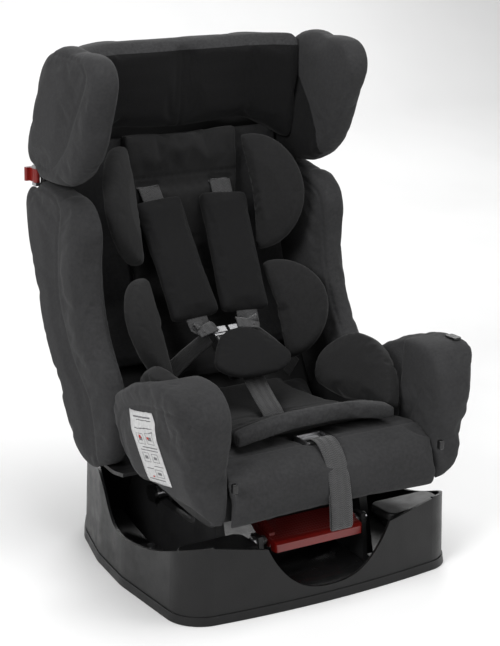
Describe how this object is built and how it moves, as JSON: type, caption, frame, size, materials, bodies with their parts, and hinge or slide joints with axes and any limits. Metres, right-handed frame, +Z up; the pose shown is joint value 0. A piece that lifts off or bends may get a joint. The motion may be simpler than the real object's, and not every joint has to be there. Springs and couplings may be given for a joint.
{
  "type": "child car seat",
  "caption": "Convertible child car seat: padded bucket with head, torso and hip wings on a recline base, five-point harness, infant insert and red recline lever.",
  "frame": {"origin": "on the floor, at the centre of the bounding box's bottom face", "axes": "+Z up, +Y towards the seat's back, the seated child faces -Y, X across the seat"},
  "size_m": [0.444, 0.4663, 0.6663],
  "materials": {
    "base_plastic": "fine moulded grain",
    "tray_plastic": "smooth black",
    "shell_plastic": "satin",
    "foot_rubber": "matte",
    "steel": "zinc plated",
    "red_plastic": "moulded, slightly glossy",
    "black_plastic": "satin",
    "wing_fabric": "knitted polyester, soft sheen",
    "mesh_fabric": "fine black air mesh",
    "insert_fabric": "knitted polyester",
    "pad_fabric": "brushed black fabric",
    "webbing": "ribbed polyester webbing",
    "label_cloth": "smooth woven tape"
  },
  "bodies": {
    "base": {"base_shell": "base_plastic", "rubber_feet": "foot_rubber", "cradle_left": "tray_plastic", "cradle_right": "tray_plastic", "cradle_screws": "steel", "base_tray": "tray_plastic", "corner_shelf_left": "base_plastic", "corner_shelf_right": "base_plastic", "handle_brackets": "tray_plastic", "handle_pivot_bolts": "steel", "handle_springs": "steel"},
    "seat": {"adjuster_housing": "steel", "adjuster_strap": "webbing", "axle_caps": "black_plastic", "axle_tube": "steel", "back_cover": "wing_fabric", "buckle_housing": "black_plastic", "care_labels": "label_cloth", "cover_hooks": "black_plastic", "crotch_pad": "pad_fabric", "crotch_strap": "webbing", "guide_mount_left": "shell_plastic", "guide_mount_right": "shell_plastic", "head_bolster_left": "insert_fabric", "head_bolster_right": "insert_fabric", "head_panel": "mesh_fabric", "head_wing_cover_left": "wing_fabric", "head_wing_cover_right": "wing_fabric", "hip_wing_cover_left": "wing_fabric", "hip_wing_cover_right": "wing_fabric", "insert_back": "insert_fabric", "insert_seat": "insert_fabric", "lap_strap_left": "webbing", "lap_strap_right": "webbing", "lock_rack": "steel", "pull_tab": "webbing", "runner_left": "tray_plastic", "runner_right": "tray_plastic", "seat_cushion": "wing_fabric", "seat_shell": "shell_plastic", "shoulder_pad_left": "pad_fabric", "shoulder_pad_right": "pad_fabric", "shoulder_strap_left": "webbing", "shoulder_strap_right": "webbing", "splitter_plate": "steel", "strap_anchors": "steel", "thigh_bolster_left": "insert_fabric", "thigh_bolster_right": "insert_fabric", "torso_wing_cover_left": "wing_fabric", "torso_wing_cover_right": "wing_fabric", "waist_bolster_left": "insert_fabric", "waist_bolster_right": "insert_fabric"},
    "handle": {"recline_handle": "red_plastic", "lock_bar": "steel"},
    "buckle_button": {"buckle_button": "red_plastic"},
    "tongue_left": {"buckle_tongue_left": "steel"},
    "tongue_right": {"buckle_tongue_right": "steel"},
    "adjuster_lever": {"adjuster_lever": "steel"},
    "guide_left": {"belt_guide_left": "red_plastic"},
    "guide_right": {"belt_guide_right": "red_plastic"}
  },
  "joints": [
    {"name": "seat_recline", "type": "hinge", "parent": "base", "child": "seat", "pos_m": [0, -0.04, 0.42], "axis": [-1, 0, 0], "range_deg": [0, 15]},
    {"name": "recline_handle_pull", "type": "hinge", "parent": "base", "child": "handle", "pos_m": [0, -0.16, 0.076], "axis": [-1, 0, 0], "range_deg": [0, 16], "stiffness_Nm_per_rad": 1.2, "springref_deg": -20.05},
    {"name": "buckle_button_press", "type": "slide", "parent": "seat", "child": "buckle_button", "axis": [0, 0.5897, -0.8076], "range_m": [0, 0.0022], "stiffness_N_per_m": 900, "springref_m": -0.002},
    {"name": "tongue_left_pull", "type": "slide", "parent": "seat", "child": "tongue_left", "axis": [0, 0.8076, 0.5897], "range_m": [0, 0.014]},
    {"name": "tongue_right_pull", "type": "slide", "parent": "seat", "child": "tongue_right", "axis": [0, 0.8076, 0.5897], "range_m": [0, 0.014]},
    {"name": "adjuster_lever_press", "type": "hinge", "parent": "seat", "child": "adjuster_lever", "pos_m": [0, -0.157, 0.194], "axis": [1, 0, 0], "range_deg": [0, 16], "stiffness_Nm_per_rad": 0.15, "springref_deg": -17.19},
    {"name": "guide_left_swing", "type": "hinge", "parent": "seat", "child": "guide_left", "pos_m": [-0.198, 0.199, 0.489], "axis": [0, 0, 1], "range_deg": [0, 30]},
    {"name": "guide_right_swing", "type": "hinge", "parent": "seat", "child": "guide_right", "pos_m": [0.198, 0.199, 0.489], "axis": [0, 0, -1], "range_deg": [0, 30]}
  ]
}
